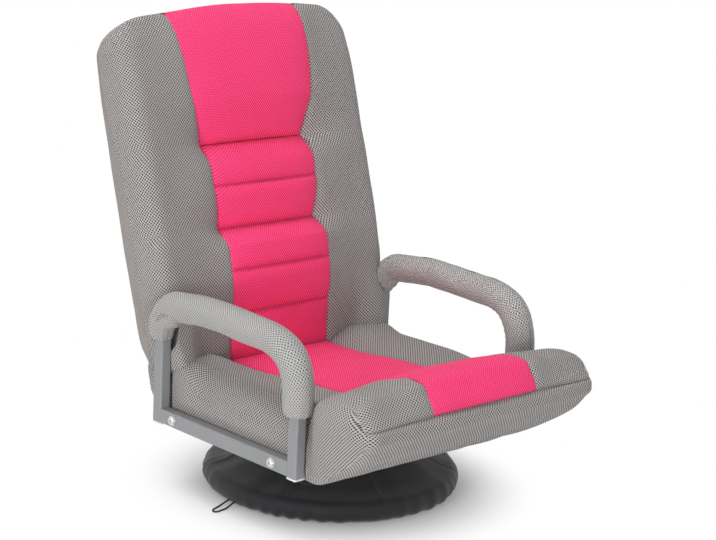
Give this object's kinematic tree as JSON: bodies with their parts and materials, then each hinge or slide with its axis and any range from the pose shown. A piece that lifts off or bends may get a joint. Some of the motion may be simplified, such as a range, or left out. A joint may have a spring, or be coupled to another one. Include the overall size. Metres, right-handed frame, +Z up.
{
  "type": "swivel floor chair with folding back",
  "caption": "Legless floor chair on a round swivel base, with padded arms, mesh cushions and a channelled back that reclines flat or folds onto the seat.",
  "frame": {"origin": "on the floor, at the swivel axis of the round base", "axes": "+Z up along the swivel axis, -Y the way the sitter faces, +X to the sitter's left"},
  "size_m": [0.554, 0.7503, 0.7784],
  "materials": {
    "pink_mesh": "knitted spacer mesh, pink",
    "grey_mesh": "knitted spacer mesh, warm grey",
    "black_fabric": "plain woven cover cloth, charcoal black",
    "webbing": "elastic upholstery webbing",
    "grey_paint": "satin grey powder coat",
    "black_paint": "black powder coat",
    "grey_plastic": "light grey moulded",
    "black_plastic": "black moulded",
    "zinc_steel": "bright zinc plate"
  },
  "bodies": {
    "base": {"base_ring": "black_paint", "base_cross_tubes": "black_paint", "swivel_lower_plate": "zinc_steel", "swivel_lower_bolts": "zinc_steel", "swivel_balls": "zinc_steel", "swivel_ball_cage": "black_plastic", "swivel_rivet": "zinc_steel", "base_cover": "black_fabric", "base_bottom_mat": "black_fabric", "drawstring_loop": "black_fabric"},
    "seat": {"swivel_upper_plate": "zinc_steel", "swivel_upper_bolts": "zinc_steel", "seat_frame": "black_paint", "seat_cross_bars": "black_paint", "seat_webbing": "webbing", "seat_center_pad": "pink_mesh", "seat_side_pad_right": "grey_mesh", "seat_side_pad_left": "grey_mesh", "seat_front_band": "grey_mesh", "seat_bottom_cover": "black_fabric", "arm_frame_right": "grey_paint", "arm_frame_left": "grey_paint", "arm_pad_right": "grey_mesh", "arm_pad_left": "grey_mesh", "arm_end_caps": "grey_plastic", "arm_bolts": "zinc_steel", "arm_washers": "zinc_steel", "arm_spacers": "zinc_steel", "arm_nuts": "zinc_steel", "hinge_housing_right": "zinc_steel", "hinge_housing_left": "zinc_steel", "hinge_pin_right": "zinc_steel", "hinge_pin_left": "zinc_steel", "hinge_pawl_right": "zinc_steel", "hinge_pawl_left": "zinc_steel", "pawl_spring_right": "zinc_steel", "pawl_spring_left": "zinc_steel", "hinge_cap_right": "black_plastic", "hinge_cap_left": "black_plastic", "rear_gusset": "grey_mesh"},
    "backrest": {"ratchet_gear_right": "zinc_steel", "ratchet_gear_left": "zinc_steel", "back_frame": "black_paint", "back_cross_bars": "black_paint", "back_webbing": "webbing", "back_channel_pad": "pink_mesh", "head_pad": "pink_mesh", "back_side_pad_right": "grey_mesh", "back_side_pad_left": "grey_mesh", "back_side_roll_right": "grey_mesh", "back_side_roll_left": "grey_mesh", "back_rear_pad": "grey_mesh", "back_rear_panel": "black_fabric"}
  },
  "joints": [
    {"name": "swivel", "type": "hinge", "parent": "base", "child": "seat", "pos_m": [0, 0, 0.089], "axis": [0, 0, 1], "continuous": true},
    {"name": "back_recline", "type": "hinge", "parent": "seat", "child": "backrest", "pos_m": [0, 0.141, 0.204], "axis": [1, 0, 0], "range_deg": [-72, 90], "deforming": ["back_side_roll_right", "back_side_roll_left", "rear_gusset"]}
  ]
}
